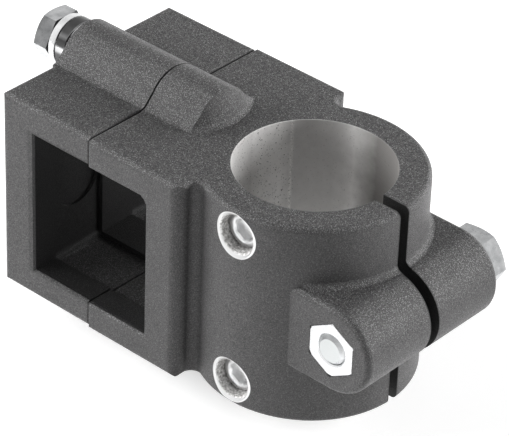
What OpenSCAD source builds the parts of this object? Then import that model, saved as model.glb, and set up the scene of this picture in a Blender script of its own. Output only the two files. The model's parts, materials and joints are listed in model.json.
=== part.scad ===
// Cross connector clamp: a cast body that grips a square tube in a two-part
// clamp and a round tube, at right angles to it, in a slotted ring.
// Millimetres. The origin is the centre of the round bore, +Z runs along it,
// the square clamp lies towards -X and the ring's lug towards +X.

/* [Square clamp] */
// Side of the square tube
tube_side = 40; // [34:1:48]
// How much narrower than the tube the opening is once the seams meet
squeeze = 2; // [1:0.5:3]
// Gap between the two castings at the seam
seam_gap = 0.5; // [0.3:0.1:1]
// Wall above and below the opening, under the bolts
bolt_wall = 8; // [7.5:0.5:10]
// Wall at the two ends of the opening
end_wall = 11; // [9:0.5:14]
// Metal left between the opening and the round bore
web = 6.5; // [5:0.5:10]
// Depth of the square clamp along the square tube
body_depth = 61; // [52:1:74]
// How far the loose half's faces stand back from the body's, front and back
half_inset = 0.75; // [0:0.25:1.5]

/* [Relief inside the square clamp] */
// Width of the machined band that holds the tube at each end
land = 8.3; // [6:0.5:10]
// Width of the rib across the middle of the opening
middle_rib = 11; // [9:0.5:14]
// Depth of the relief between the bands
relief = 1; // [0.5:0.25:1.5]
// Extra depth of the round-ended recess in each end wall
recess_step = 0.8; // [0.5:0.1:1.2]
// Fillet in the corners of the relief
relief_fillet = 2; // [1:0.5:3]
// Fillet in the opening's upper corner on the body's side
opening_fillet = 1.2; // [0.8:0.2:4]

/* [Bolt ridge] */
// Radius of the ridge's round top
ridge_radius = 9.4; // [9:0.2:11]
// How far the centre of the round top lies under the bolt axis
ridge_sink = 1.5; // [1:0.25:2]
// Slope of the ridge's flanks in degrees
flank_angle = 48; // [40:1:55]
// Fillet where the flanks meet the flat top
flank_fillet = 3; // [2:0.5:4]
// Height of the bolt axis above the opening
bolt_lift = 7.5; // [7:0.25:8]
// Distance from the bore axis to the foot of the ridge's sloping end
ridge_end_x = 26.6; // [25:0.2:29]
// Radius of that end seen from above
ridge_end_radius = 16.4; // [15:0.2:18]
// Lean of that end from upright, in degrees
ridge_end_lean = 24; // [15:1:30]
// Fillet at the foot of that end
ridge_end_fillet = 2.4; // [1.6:0.2:3]

/* [Round clamp] */
// Bore for the round tube
tube_bore = 40; // [33:1:44]
// Wall of the ring
ring_wall = 8; // [7:0.5:10]
// Slot that lets the ring close
slot_width = 3; // [2:0.5:4]
// Radius of the hollow where the ring leaves the square clamp
neck_fillet = 2.4; // [1.5:0.1:3]

/* [Lug] */
// Thickness of the lug, which is also the diameter of its round end
lug_thickness = 23.5; // [22:0.5:26]
// Length of the lug along its bolt
lug_span = 48; // [46:1:54]
// Metal left between the round bore and the lug's bolt hole
lug_web = 3; // [2.5:0.25:5]
// Fillet where the lug's flat sides meet the ring
lug_fillet = 2; // [1.5:0.25:3]

/* [Set screws in the ring] */
// Thread diameter of the two set screws
set_screw_d = 10; // [8:0.5:12]
// Width across flats of their sockets
set_socket_af = 5; // [4:0.5:6]
// Depth of their sockets
set_socket_depth = 2.4; // [1.5:0.2:3]
// Distance of each screw's axis from the ring's nearer end
set_screw_margin = 7; // [6:0.5:10]
// How far the screw's face lies under the ring's surface
set_screw_sink = 3.2; // [2:0.2:4]
// How far the screw's tip stops short of the bore
set_screw_tip_gap = 0.6; // [0.4:0.1:1]
// Width of the countersink at the holes' mouths
set_mouth = 1; // [0.6:0.1:1.6]

/* [Bolts, nut and washers] */
// Thread diameter of the three hexagon bolts
bolt_d = 8; // [8:0.5:8.5]
// Play all round between the bolts and the holes they pass through
bolt_play = 0.5; // [0.4:0.1:0.8]
// Play all round between the bolts and their washers and bushes
washer_play = 0.2; // [0.15:0.05:0.4]
// Width across flats of the ridge bolts' heads and of the nut
head_af = 13; // [12:0.5:14]
// Height of the ridge bolts' heads
head_height = 5.3; // [4.5:0.1:6.5]
// Width across flats of the ring bolt's head
ring_head_af = 15; // [12:0.5:17]
// Height of the ring bolt's head
ring_head_height = 6; // [4.5:0.1:7]
// Turn of the ring bolt's head about its own axis, in degrees
ring_head_turn = 0; // [0:1:60]
// How far the ridge bolts reach into the body's thread
thread_reach = 12.6; // [8:0.2:14]
// Depth of the tapped hole beyond the bolt's end
thread_runout = 2; // [1:0.5:4]
// How far the ring bolt's end stands proud of the nut
bolt_proud = 0.4; // [0.2:0.1:2]
// Height of the nut
nut_height = 6.5; // [5:0.5:8]
// Thickness of the plain washers under the ridge bolts
seat_washer_height = 1.2; // [1:0.1:2]
// Height of the round bushes under the ridge bolts
bush_height = 3.7; // [2:0.1:6]
// Outer diameter of the bushes and of the washers beside them
bush_d = 14; // [13:0.2:15]
// Thickness of the spring washers
spring_washer_height = 2; // [1.5:0.1:2.5]
// Width of the split in the spring washers
spring_split = 1; // [0.6:0.1:1.6]
// Thickness of the washer on the lug
lug_washer_height = 1.6; // [1:0.1:2.5]
// Outer diameter of the washer on the lug
lug_washer_d = 17; // [16:0.5:20]

/* [Edges and fits] */
// Radius of the casting's outer edges
edge_radius = 1.6; // [0.8:0.2:2]
// Radius of the body's upright edges beside the ring
corner_radius = 3.2; // [1.6:0.2:4]
// Radius of the casting's edges along the seam
seam_radius = 0.6; // [0.3:0.1:1]
// Chamfer at the rims of the square opening
rim_chamfer = 0.5; // [0.3:0.1:1]
// Chamfer at the ends of the machined bore
bore_chamfer = 0.15; // [0.1:0.05:1]
// Radial clearance of each thread in its hole
thread_clearance = 0.05; // [0.02:0.01:0.1]
// Clearance of the nut's flats in its pocket
pocket_clearance = 0.15; // [0.1:0.05:0.3]

/* [Hidden] */
$fn = 72;

over = 1;                 // how far a cutter runs past what it cuts
bite = 0.05;              // how far a fillet piece sinks into its neighbours
bolt_hole_d = bolt_d + 2 * bolt_play;
half_height = tube_side / 2 + bolt_wall;
half_depth = body_depth / 2;
loose_half_depth = half_depth - half_inset;

// Stations along X, from the bore axis towards the square clamp
bore_r = tube_bore / 2;
ring_r = bore_r + ring_wall;
opening_right = -(bore_r + web);
body_right = opening_right + end_wall;
body_seam = opening_right - (tube_side - squeeze) / 2;
half_seam = body_seam - seam_gap;
opening_left = half_seam - (tube_side - squeeze) / 2;
half_left = opening_left - end_wall;

// Relief pockets along Y, the same at the front and at the back
pocket_outer = half_depth - land;
pocket_inner = middle_rib / 2;
pocket_middle = (pocket_outer + pocket_inner) / 2;
recess_radius = (pocket_outer - pocket_inner) / 2 - 0.6;

// Bolts of the square clamp
ridge_bolt_z = tube_side / 2 + bolt_lift;
ridge_drop = half_height - ridge_bolt_z + ridge_sink;
ridge_root = edge_radius + over;
bush_seat = half_left - seat_washer_height;
spring_seat = bush_seat - bush_height;
ridge_head_seat = spring_seat - spring_washer_height;
ridge_bolt_length = body_seam + thread_reach - ridge_head_seat;
tapped_end = body_seam + thread_reach + thread_runout;

// Lug and its bolt
lug_r = lug_thickness / 2;
lug_x = bore_r + lug_web + bolt_hole_d / 2;
lug_face = lug_span / 2;
ring_head_seat = lug_face + lug_washer_height;
ring_bolt_length = lug_span + lug_washer_height + bolt_proud;

// Set screws
set_screw_rise = half_height - set_screw_margin;
set_face = ring_r - set_screw_sink;
set_length = set_face - bore_r - set_screw_tip_gap;

// An extrusion along X; the outline's first axis is Y and its second is Z
module along_x(x0, x1) {
    translate([x0, 0, 0]) rotate([90, 0, 90]) linear_extrude(height = x1 - x0) children();
}

// An extrusion along Y; the outline's first axis is X and its second is Z
module along_y(y0, y1) {
    translate([0, y1, 0]) rotate([90, 0, 0]) linear_extrude(height = y1 - y0) children();
}

// An extrusion along Z; the outline's axes are X and Y
module along_z(z0, z1) {
    translate([0, 0, z0]) linear_extrude(height = z1 - z0) children();
}

// A rectangle from x0 to x1, centred on the first axis, with its own corner
// radius at each end
module soft_rectangle(x0, x1, height, r0, r1) {
    h = height / 2;
    polygon([[x0 + r0, -h], [x1 - r1, -h], [x1, -h + r1], [x1, h - r1],
             [x1 - r1, h], [x0 + r0, h], [x0, h - r0], [x0, -h + r0]]);
    for (side = [-1, 1]) {
        translate([x0 + r0, side * (h - r0)]) circle(r0);
        translate([x1 - r1, side * (h - r1)]) circle(r1);
    }
}

// A block with rounded edges, from x0 to x1 and centred in depth and height;
// r0 and r1 are the radii of the edges round its two ends, and corner is the
// radius of the upright edges at x1
module soft_block(x0, x1, depth, height, r0, r1, corner) {
    intersection() {
        along_z(-height / 2, height / 2) soft_rectangle(x0, x1, depth, r0, corner);
        along_y(-depth / 2, depth / 2) soft_rectangle(x0, x1, height, r0, r1);
        along_x(x0, x1) soft_rectangle(-depth / 2, depth / 2, height, edge_radius, edge_radius);
    }
}

// The same thing above and below the middle
module top_and_bottom() {
    children();
    mirror([0, 0, 1]) children();
}

// The same thing at the front and at the back
module front_and_back() {
    children();
    mirror([0, 1, 0]) children();
}

// Outline of the bolt ridge; 0 is the casting's top face
module ridge_outline() {
    shoulder_y = ridge_radius * sin(flank_angle);
    shoulder_z = ridge_radius * cos(flank_angle) - ridge_drop;
    foot_y = shoulder_y + shoulder_z / tan(flank_angle);
    fillet_run = flank_fillet * tan(flank_angle / 2);
    translate([0, -ridge_drop]) circle(ridge_radius);
    polygon([[-foot_y, -ridge_root], [-foot_y, 0], [-shoulder_y + bite, shoulder_z - bite],
             [0, -ridge_drop], [shoulder_y - bite, shoulder_z - bite], [foot_y, 0],
             [foot_y, -ridge_root]]);
    for (side = [-1, 1]) difference() {
        polygon([[side * (foot_y + fillet_run), -ridge_root], [side * (foot_y + fillet_run), 0],
                 [side * (foot_y - fillet_run * cos(flank_angle)), fillet_run * sin(flank_angle)],
                 [side * (foot_y - fillet_run), -ridge_root]]);
        translate([side * (foot_y + fillet_run), flank_fillet - bite]) circle(flank_fillet);
    }
}

// Ridge from x0 to x1 on the casting's top
module ridge(x0, x1) {
    along_x(x0, x1) translate([0, half_height]) ridge_outline();
}

// The solid that shapes the ridge's end on the body: an upright cone with a
// hollow foot, about an axis under the ridge
module ridge_end() {
    tall = ridge_radius;
    lean_in = tall * tan(ridge_end_lean);
    run = ridge_end_fillet * tan((90 - ridge_end_lean) / 2);
    translate([-ridge_end_x - ridge_end_radius, 0, half_height]) rotate_extrude() {
        polygon([[0, -ridge_root], [ridge_end_radius, -ridge_root], [ridge_end_radius, 0],
                 [ridge_end_radius - lean_in, tall], [0, tall]]);
        difference() {
            polygon([[ridge_end_radius - run, -ridge_root], [ridge_end_radius + run, -ridge_root],
                     [ridge_end_radius + run, 0],
                     [ridge_end_radius - run * sin(ridge_end_lean), run * cos(ridge_end_lean)],
                     [ridge_end_radius - run, 0]]);
            translate([ridge_end_radius + run, ridge_end_fillet - bite]) circle(ridge_end_fillet);
        }
    }
}

// The opening for the square tube from x0 to x1, chamfered at its front and
// back rims, with x_flare set to 1 where x1 is a wall and to 0 at the seam
module opening(x0, x1, depth, flare_left, flare_right) {
    d = depth / 2;
    h = tube_side / 2;
    c = rim_chamfer;
    intersection() {
        along_x(x0 - c, x1 + c) polygon([[-d - over, -h - c - over], [-d + c, -h], [d - c, -h],
                                         [d + over, -h - c - over], [d + over, h + c + over],
                                         [d - c, h], [-d + c, h], [-d - over, h + c + over]]);
        along_z(-half_height, half_height) polygon([
            [x0 - flare_left * (c + over), -d - over], [x1 + flare_right * (c + over), -d - over],
            [x1, -d + c], [x1, d - c],
            [x1 + flare_right * (c + over), d + over], [x0 - flare_left * (c + over), d + over],
            [x0, d - c], [x0, -d + c]]);
    }
}

// Fillet in the opening's upper corner beside the web, on the bands and the rib
module opening_corner() {
    r = opening_fillet;
    x0 = opening_right - r;
    z0 = tube_side / 2 - r;
    for (y = [[-half_depth, -pocket_outer], [-pocket_inner, pocket_inner], [pocket_outer, half_depth]])
        along_y(y[0], y[1]) difference() {
            translate([x0, z0]) square(r + over);
            translate([x0, z0]) circle(r + bite);
        }
}

// Relief between the bands that hold the tube, all round the opening
module relief_pockets(x0, x1, r0, r1) {
    front_and_back() along_y(pocket_inner, pocket_outer)
        soft_rectangle(x0, x1, tube_side + 2 * relief, r0, r1);
}

// Round-ended recess in an end wall, open towards the top
module wall_recess(x0, x1) {
    front_and_back() along_x(x0, x1) translate([pocket_middle, 0]) {
        circle(recess_radius);
        translate([-recess_radius, 0]) square([2 * recess_radius, tube_side / 2]);
    }
}

// Hexagon prism along Z with its corners on the X axis
module hexagon_prism(across_flats, height) {
    cylinder(d = across_flats / cos(30), h = height, $fn = 6);
}

// Hexagon head or nut blank along Z, its top corners cut back at 30 degrees
module chamfered_hexagon(across_flats, height) {
    corner_r = across_flats / cos(30) / 2;
    flat_r = across_flats / 2 * 0.95;
    drop = (corner_r - flat_r) * tan(30);
    intersection() {
        hexagon_prism(across_flats, height);
        union() {
            cylinder(r = corner_r + over, h = height - drop);
            translate([0, 0, height - drop]) cylinder(r1 = corner_r, r2 = flat_r, h = drop);
        }
    }
}

// Hexagon bolt: its head's seat is at 0, the head above and the shank below
module hexagon_bolt(length, across_flats, height) {
    point = 1;
    washer_face = 0.4;
    cylinder(d = across_flats * 0.9, h = washer_face + over / 4);
    translate([0, 0, washer_face]) chamfered_hexagon(across_flats, height - washer_face);
    translate([0, 0, point - length]) cylinder(d = bolt_d, h = length - point + over / 4);
    translate([0, 0, -length]) cylinder(d1 = bolt_d - 1.6 * point, d2 = bolt_d, h = point);
}

// Plain washer or bush standing on 0, its outer edges broken by a chamfer
module washer(outer_d, height, chamfer) {
    inner_r = bolt_d / 2 + washer_play;
    rotate_extrude() polygon([[inner_r, 0], [outer_d / 2 - chamfer, 0], [outer_d / 2, chamfer],
                              [outer_d / 2, height - chamfer], [outer_d / 2 - chamfer, height],
                              [inner_r, height]]);
}

// Spring washer standing on 0, with its slanting split
module spring_washer() {
    difference() {
        washer(bush_d, spring_washer_height, 0.15);
        translate([bush_d / 2, 0, spring_washer_height / 2]) rotate([25, 0, 0])
            cube([bush_d, spring_split, 3 * spring_washer_height], center = true);
    }
}

// Places a thing made along Z on a ridge bolt's axis, pointing away from the
// clamp, with its 0 at x
module on_ridge_axis(x, side) {
    translate([x, 0, side * ridge_bolt_z]) rotate([0, -90, 0]) children();
}

// Places a thing made along Z on the lug bolt's axis, pointing to the back
module on_lug_axis(y) {
    translate([lug_x, y, 0]) rotate([-90, 0, 0]) children();
}

// Places a thing made along Z on a set screw's axis, pointing out of the ring
module on_set_axis(distance, side) {
    translate([0, -distance, side * set_screw_rise]) rotate([90, 0, 0]) children();
}

// Ring with rounded outer edges, still solid inside
module ring_blank() {
    rotate_extrude() {
        polygon([[0, -half_height], [ring_r - edge_radius, -half_height],
                 [ring_r, -half_height + edge_radius], [ring_r, half_height - edge_radius],
                 [ring_r - edge_radius, half_height], [0, half_height]]);
        for (side = [-1, 1])
            translate([ring_r - edge_radius, side * (half_height - edge_radius)])
                circle(edge_radius);
    }
}

// What a hollow fillet of the neck leaves free, about its own axis: a round bar
// that flares at both ends, so that the neck's rims are as round as its neighbours'
module neck_hollow() {
    rotate_extrude() difference() {
        translate([0, -half_height - over])
            square([neck_fillet + edge_radius, 2 * (half_height + over)]);
        translate([neck_fillet, -half_height + edge_radius])
            square([edge_radius + over, 2 * (half_height - edge_radius)]);
        for (side = [-1, 1])
            translate([neck_fillet + edge_radius, side * (half_height - edge_radius)])
                circle(edge_radius);
    }
}

// Hollow fillet between the square clamp's side and the ring, at the front. It
// also fills the notch where their rounded rims would meet
module neck() {
    reach = ring_r + neck_fillet;
    centre_x = body_right + neck_fillet;
    centre_y = sqrt(reach * reach - centre_x * centre_x);
    touch_x = centre_x * ring_r / reach;
    touch_y = centre_y * ring_r / reach;
    front = min(centre_y, half_depth - corner_radius);
    rim_x = body_right - edge_radius;
    rim_r = ring_r - edge_radius;
    rim_y = sqrt(rim_r * rim_r - rim_x * rim_x);
    inward = (rim_r - over) / ring_r;
    difference() {
        along_z(-half_height, half_height)
            polygon([[rim_x - over, -front], [body_right, -front], [touch_x, -touch_y],
                     [touch_x * inward, -touch_y * inward], [rim_x - over, -rim_y + over]]);
        translate([centre_x - bite, -centre_y + bite, 0]) neck_hollow();
    }
}

// Lug with a round end and rounded rims, still solid inside
module lug_blank() {
    along_x(bore_r / 2, lug_x)
        soft_rectangle(-lug_face, lug_face, lug_thickness, edge_radius, edge_radius);
    translate([lug_x, 0, 0]) rotate([90, 90, 0]) rotate_extrude(angle = 180) intersection() {
        rotate(90) soft_rectangle(-lug_face, lug_face, lug_thickness, edge_radius, edge_radius);
        translate([0, -lug_face]) square([lug_r, lug_span]);
    }
}

// Fillet between the lug's flat side and the ring
module lug_root() {
    intersection() {
        translate([0, 0, lug_r]) rotate_extrude() difference() {
            translate([ring_r - over, -over]) square(lug_fillet + over);
            translate([ring_r + lug_fillet - bite, lug_fillet - bite]) circle(lug_fillet);
        }
        translate([ring_r / 2, -lug_face + edge_radius, 0])
            cube([ring_r, lug_span - 2 * edge_radius, half_height]);
    }
}

module main_body() {
    color("#2b2b2d") {
        difference() {
            union() {
                soft_block(body_seam, body_right, body_depth, 2 * half_height, seam_radius,
                           edge_radius, corner_radius);
                ring_blank();
                front_and_back() neck();
                lug_blank();
                top_and_bottom() {
                    lug_root();
                    intersection() {
                        ridge(body_seam, -bore_r);
                        ridge_end();
                    }
                }
            }
            opening(body_seam - over, opening_right, body_depth, 0, 1);
            relief_pockets(body_seam - over, opening_right + relief, 0.3, relief_fillet);
            wall_recess(opening_right, opening_right + relief + recess_step);
            round_bore();
            translate([bore_r - over, -slot_width / 2, -half_height - over])
                cube([lug_x + lug_r, slot_width, 2 * (half_height + over)]);
            for (side = [-1, 1]) {
                on_ridge_axis(tapped_end, side)
                    cylinder(r = bolt_d / 2 + thread_clearance, h = tapped_end - body_seam + over);
                set_screw_hole(side);
            }
            on_lug_axis(-lug_face - over) cylinder(d = bolt_hole_d, h = lug_span + 2 * over);
            on_lug_axis(-lug_face - over) rotate(30)
                hexagon_prism(head_af + 2 * pocket_clearance, nut_height + over);
        }
        opening_corner();
    }
}

// The bore for the round tube, with a small chamfer at each end
module round_bore() {
    cylinder(r = bore_r, h = 2 * (half_height + over), center = true);
    top_and_bottom() translate([0, 0, half_height - bore_chamfer])
        cylinder(r1 = bore_r, r2 = bore_r + bore_chamfer + over, h = bore_chamfer + over);
}

// Threaded hole of a set screw with its countersunk mouth
module set_screw_hole(side) {
    hole_r = set_screw_d / 2 + thread_clearance;
    on_set_axis(bore_r - over, side) cylinder(r = hole_r, h = ring_wall + 2 * over);
    on_set_axis(ring_r - set_mouth, side)
        cylinder(r1 = hole_r, r2 = hole_r + set_mouth + over, h = set_mouth + over);
}

module clamp_half() {
    color("#2b2b2d") difference() {
        union() {
            soft_block(half_left, half_seam, 2 * loose_half_depth, 2 * half_height,
                       edge_radius, seam_radius, seam_radius);
            top_and_bottom() ridge(half_left, half_seam);
        }
        opening(opening_left, half_seam + over, 2 * loose_half_depth, 1, 0);
        relief_pockets(opening_left - relief, half_seam + over, relief_fillet, 0.3);
        wall_recess(opening_left - relief - recess_step, opening_left);
        for (side = [-1, 1])
            on_ridge_axis(half_seam + over, side)
                cylinder(d = bolt_hole_d, h = half_seam - half_left + 2 * over);
    }
}

module ridge_bolt(side) {
    color("silver") on_ridge_axis(ridge_head_seat, side) rotate(90)
        hexagon_bolt(ridge_bolt_length, head_af, head_height);
}

module ridge_spring_washer(side) {
    color("gainsboro") on_ridge_axis(spring_seat, side) rotate(side * 60) spring_washer();
}

module ridge_bush(side) {
    color("dimgray") on_ridge_axis(bush_seat, side) washer(bush_d, bush_height, 0.5);
}

module ridge_seat_washer(side) {
    color("gainsboro") on_ridge_axis(half_left, side) washer(bush_d, seat_washer_height, 0.3);
}

module ring_bolt() {
    color("silver") on_lug_axis(ring_head_seat) rotate(ring_head_turn)
        hexagon_bolt(ring_bolt_length, ring_head_af, ring_head_height);
}

module ring_bolt_washer() {
    color("gainsboro") on_lug_axis(lug_face) washer(lug_washer_d, lug_washer_height, 0.3);
}

module ring_nut() {
    chamfer = 0.4;
    color("silver") difference() {
        on_lug_axis(-lug_face + nut_height) rotate([180, 0, 30])
            chamfered_hexagon(head_af, nut_height);
        on_lug_axis(-lug_face - over)
            cylinder(r = bolt_d / 2 + thread_clearance, h = nut_height + 2 * over);
        on_lug_axis(-lug_face - over)
            cylinder(r1 = bolt_d / 2 + chamfer + over, r2 = bolt_d / 2, h = chamfer + over);
    }
}

module set_screw(side) {
    chamfer = 0.5;
    r = set_screw_d / 2;
    color("silver") difference() {
        on_set_axis(set_face - set_length, side) rotate_extrude()
            polygon([[0, 0], [r - chamfer, 0], [r, chamfer], [r, set_length - chamfer],
                     [r - chamfer, set_length], [0, set_length]]);
        on_set_axis(set_face - set_socket_depth, side) rotate(30)
            hexagon_prism(set_socket_af, set_socket_depth + over);
    }
}

main_body();
clamp_half();
ridge_bolt(1);  // top_bolt
ridge_spring_washer(1);  // top_spring_washer
ridge_bush(1);  // top_bush
ridge_seat_washer(1);  // top_seat_washer
ridge_bolt(-1);  // bottom_bolt
ridge_spring_washer(-1);  // bottom_spring_washer
ridge_bush(-1);  // bottom_bush
ridge_seat_washer(-1);  // bottom_seat_washer
ring_bolt();
ring_bolt_washer();
ring_nut();
set_screw(1);  // upper_set_screw
set_screw(-1);  // lower_set_screw
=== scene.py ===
"""Looks of a cross connector clamp for a square tube and a round tube.

Finishes the two castings and builds the bolts, nut, washers, bushes and set
screws in their places, then sets up the floor, the lights and the camera.
"""

import json
import math

import bmesh  # noqa: E402
import bpy  # noqa: E402
from bpy.props import (  # noqa: E402
    FloatProperty,
    FloatVectorProperty,
    IntProperty,
    PointerProperty,
)
from bpy.types import Operator, Panel, PropertyGroup  # noqa: E402
from mathutils import Matrix, Vector  # noqa: E402


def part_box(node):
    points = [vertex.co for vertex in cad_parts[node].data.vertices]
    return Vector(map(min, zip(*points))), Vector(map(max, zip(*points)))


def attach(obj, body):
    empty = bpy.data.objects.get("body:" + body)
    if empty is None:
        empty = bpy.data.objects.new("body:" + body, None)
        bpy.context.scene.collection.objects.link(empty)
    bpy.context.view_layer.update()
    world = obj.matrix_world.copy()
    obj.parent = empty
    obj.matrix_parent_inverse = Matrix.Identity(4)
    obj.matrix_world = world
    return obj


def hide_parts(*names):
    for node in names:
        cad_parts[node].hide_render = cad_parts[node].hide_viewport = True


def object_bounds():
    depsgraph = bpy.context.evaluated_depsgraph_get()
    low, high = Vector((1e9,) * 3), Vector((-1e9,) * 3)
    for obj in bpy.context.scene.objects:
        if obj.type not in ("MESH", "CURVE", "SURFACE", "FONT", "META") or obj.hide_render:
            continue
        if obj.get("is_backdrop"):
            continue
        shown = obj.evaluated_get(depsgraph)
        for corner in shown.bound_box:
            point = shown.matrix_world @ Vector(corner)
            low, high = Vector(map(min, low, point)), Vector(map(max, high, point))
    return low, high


bl_info = {
    "name": "Cross Connector Clamp",
    "version": (1, 0, 0),
    "blender": (4, 5, 0),
    "location": "View3D > Sidebar > Clamp",
    "description": "Builds the finish and the fasteners of a cross connector clamp",
    "category": "Object",
}

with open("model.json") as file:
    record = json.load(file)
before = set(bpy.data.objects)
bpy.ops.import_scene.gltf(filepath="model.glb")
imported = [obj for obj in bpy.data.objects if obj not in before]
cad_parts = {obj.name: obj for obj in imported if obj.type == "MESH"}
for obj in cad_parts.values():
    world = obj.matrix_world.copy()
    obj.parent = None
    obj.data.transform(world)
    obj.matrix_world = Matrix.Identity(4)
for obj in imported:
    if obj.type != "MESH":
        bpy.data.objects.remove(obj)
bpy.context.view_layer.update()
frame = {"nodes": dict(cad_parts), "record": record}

UP = Vector((0, 0, 1))
SAME_POINT = 1e-7  # points nearer than this are made one

# painted shade and painted highlights of a metal for each height that its surface faces:
# -1 down, 0 sideways, 1 up
RIDGE_BOLT_PAINTED_SHADE = ((-1.0, 1.0), (-0.35, 0.95), (-0.1, 0.40), (0.6, 0.36), (0.9, 0.58),
                    (1.0, 0.60))
RING_BOLT_PAINTED_SHADE = ((-1.0, 0.95), (0.0, 0.90), (0.5, 0.66), (0.8, 0.56), (1.0, 0.54))
# on the bushes the narrow bright bands are painted highlights and the rest painted shade
BUSH_PAINTED_SHADE_AND_HIGHLIGHTS = ((-1.0, 0.10), (-0.3, 0.12), (0.0, 0.25), (0.10, 1.0), (0.24, 0.95),
              (0.32, 0.16), (0.52, 0.12), (0.64, 0.45), (0.76, 0.14), (1.0, 0.10))

# painted light on the bore at each angle about its axis, in degrees from +X towards +Y
BORE_PAINTED_LIGHT = ((0, 0.0), (82, 0.0), (93, 0.5), (102, 0.98), (110, 0.70), (117, 0.56),
             (145, 0.56), (149, 0.75), (156, 1.0), (170, 1.0), (180, 0.78))
BORE_PAINTED_LIGHT_FRONT = 0.72  # the same on the wall nearest to the front
SPECKLED_LINE = math.radians(147)

FLOOR_RADIUS = 0.5
LAMP_DISTANCE = 1.3
# width and height in metres, then azimuth and elevation in degrees
LEFT_LAMP = (1.1, 0.6, -58, 17)
RIGHT_LAMP = (0.9, 0.6, 144, 12)


# ---------------------------------------------------------------- places


def span(node, axis):
    """Lowest and highest coordinate of a CAD node along X (0), Y (1) or Z (2)."""
    low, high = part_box(node)
    return low[axis], high[axis]


def middle(node):
    """Centre of a CAD node's box."""
    low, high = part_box(node)
    return (low + high) / 2


def half_width(node, axis):
    """Half of a CAD node's size along X (0), Y (1) or Z (2)."""
    low, high = span(node, axis)
    return (high - low) / 2


def outward_from_clamp(node, x):
    """Turns local +Z to -X on the axis of a ridge fastener, with 0 at x."""
    centre = middle(node)
    place = Matrix.Translation((x, centre.y, centre.z))
    return place @ Matrix.Rotation(math.radians(-90), 4, "Y")


def outward_from_lug(node, y):
    """Turns local +Z to +Y on the lug's bolt axis, with 0 at y."""
    centre = middle(node)
    place = Matrix.Translation((centre.x, y, centre.z))
    return place @ Matrix.Rotation(math.radians(-90), 4, "X")


def outward_from_ring(node, y):
    """Turns local +Z to -Y on a set screw's axis, with 0 at y."""
    centre = middle(node)
    place = Matrix.Translation((centre.x, y, centre.z))
    return place @ Matrix.Rotation(math.radians(90), 4, "X")


def direction(azimuth, elevation):
    """Unit vector towards an azimuth, counted from -Y towards +X, and an elevation."""
    level = math.cos(elevation)
    return Vector((math.sin(azimuth) * level, -math.cos(azimuth) * level,
                   math.sin(elevation)))


# ---------------------------------------------------------------- mesh making


def turn(bm, outline, steps, closed=False):
    """Spins an outline of (radius, height) points once about local Z."""
    verts = [bm.verts.new((r, 0.0, z)) for r, z in outline]
    pairs = list(zip(verts, verts[1:]))
    if closed:
        pairs.append((verts[-1], verts[0]))
    edges = [bm.edges.new(pair) for pair in pairs]
    bmesh.ops.spin(
        bm, geom=verts + edges, cent=(0, 0, 0), axis=(0, 0, 1), dvec=(0, 0, 0),
        angle=math.tau, steps=steps, use_merge=True, use_duplicate=False)
    bmesh.ops.remove_doubles(bm, verts=bm.verts, dist=SAME_POINT)


def mill_flats(bm, across_flats, low, high, turn_by):
    """Cuts six flats on the stretch of a turned blank between low and high."""
    for k in range(6):
        a = turn_by + math.radians(60 * k + 30)
        normal = Vector((math.cos(a), math.sin(a), 0))
        faces = [f for f in bm.faces
                 if low - SAME_POINT <= f.calc_center_median().z <= high + SAME_POINT]
        geom = list({v for f in faces for v in f.verts})
        geom += list({e for f in faces for e in f.edges}) + faces
        cut = bmesh.ops.bisect_plane(
            bm, geom=geom, dist=SAME_POINT, plane_co=normal * across_flats / 2,
            plane_no=normal, clear_outer=True, clear_inner=False)
        rim = [e for e in cut["geom_cut"]
               if isinstance(e, bmesh.types.BMEdge) and e.is_boundary]
        bmesh.ops.holes_fill(bm, edges=rim, sides=0)


def thread(bm, crest, pitch, low, high, depth):
    """Closed rod with a right-hand thread between two heights."""
    steps = 28  # segments of each turn
    root = crest - depth
    turns = int(math.ceil((high - low) / pitch)) + 2
    start = low - pitch
    # one turn's outline as (radius, share of the pitch)
    outline = [(root, 0.0), (root, 0.1), (crest, 0.45), (crest, 0.6), (root, 1.0)]
    verts = [bm.verts.new((r, 0.0, start + z * pitch)) for r, z in outline]
    edges = [bm.edges.new(pair) for pair in zip(verts, verts[1:])]
    bmesh.ops.spin(
        bm, geom=verts + edges, cent=(0, 0, 0), axis=(0, 0, 1),
        dvec=(0, 0, pitch / steps), angle=math.tau * turns, steps=steps * turns,
        use_merge=False, use_duplicate=False)
    bmesh.ops.remove_doubles(bm, verts=bm.verts, dist=SAME_POINT)
    for height, normal in ((low, -UP), (high, UP)):
        cut = bmesh.ops.bisect_plane(
            bm, geom=list(bm.verts) + list(bm.edges) + list(bm.faces), dist=1e-8,
            plane_co=UP * height, plane_no=normal, clear_outer=True, clear_inner=False)
        rim = [e for e in cut["geom_cut"] if isinstance(e, bmesh.types.BMEdge)]
        bmesh.ops.holes_fill(bm, edges=rim, sides=0)


def join(bm, other):
    """Moves a second mesh into the first as a further shell."""
    scratch = bpy.data.meshes.new("shell")
    other.to_mesh(scratch)
    other.free()
    bm.from_mesh(scratch)
    bpy.data.meshes.remove(scratch)


def soften(obj, width):
    """Rounds the sharp edges of a piece a little."""
    mod = obj.modifiers.new("Soft edges", "BEVEL")
    mod.width = width
    mod.segments = 2
    mod.limit_method = "ANGLE"
    mod.angle_limit = math.radians(30)
    mod.harden_normals = True
    mod.use_clamp_overlap = True


def piece(bm, name, place, node, material, edge=0.0001):
    """Finishes a mesh as the piece that stands for one CAD node; edge is its bevel."""
    bmesh.ops.transform(bm, matrix=place, verts=bm.verts)
    bmesh.ops.recalc_face_normals(bm, faces=bm.faces)
    mesh = bpy.data.meshes.new(name)
    bm.to_mesh(mesh)
    bm.free()
    mesh.shade_smooth()
    mesh.materials.append(material)
    obj = bpy.data.objects.new(name, mesh)
    bpy.context.scene.collection.objects.link(obj)
    if edge:
        soften(obj, edge)
    bodies = frame["record"]["behaviour"]["bodies"]
    body = next(b for b, nodes in bodies.items() if node in nodes)
    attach(obj, body)
    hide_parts(node)
    return obj


# ---------------------------------------------------------------- materials


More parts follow.
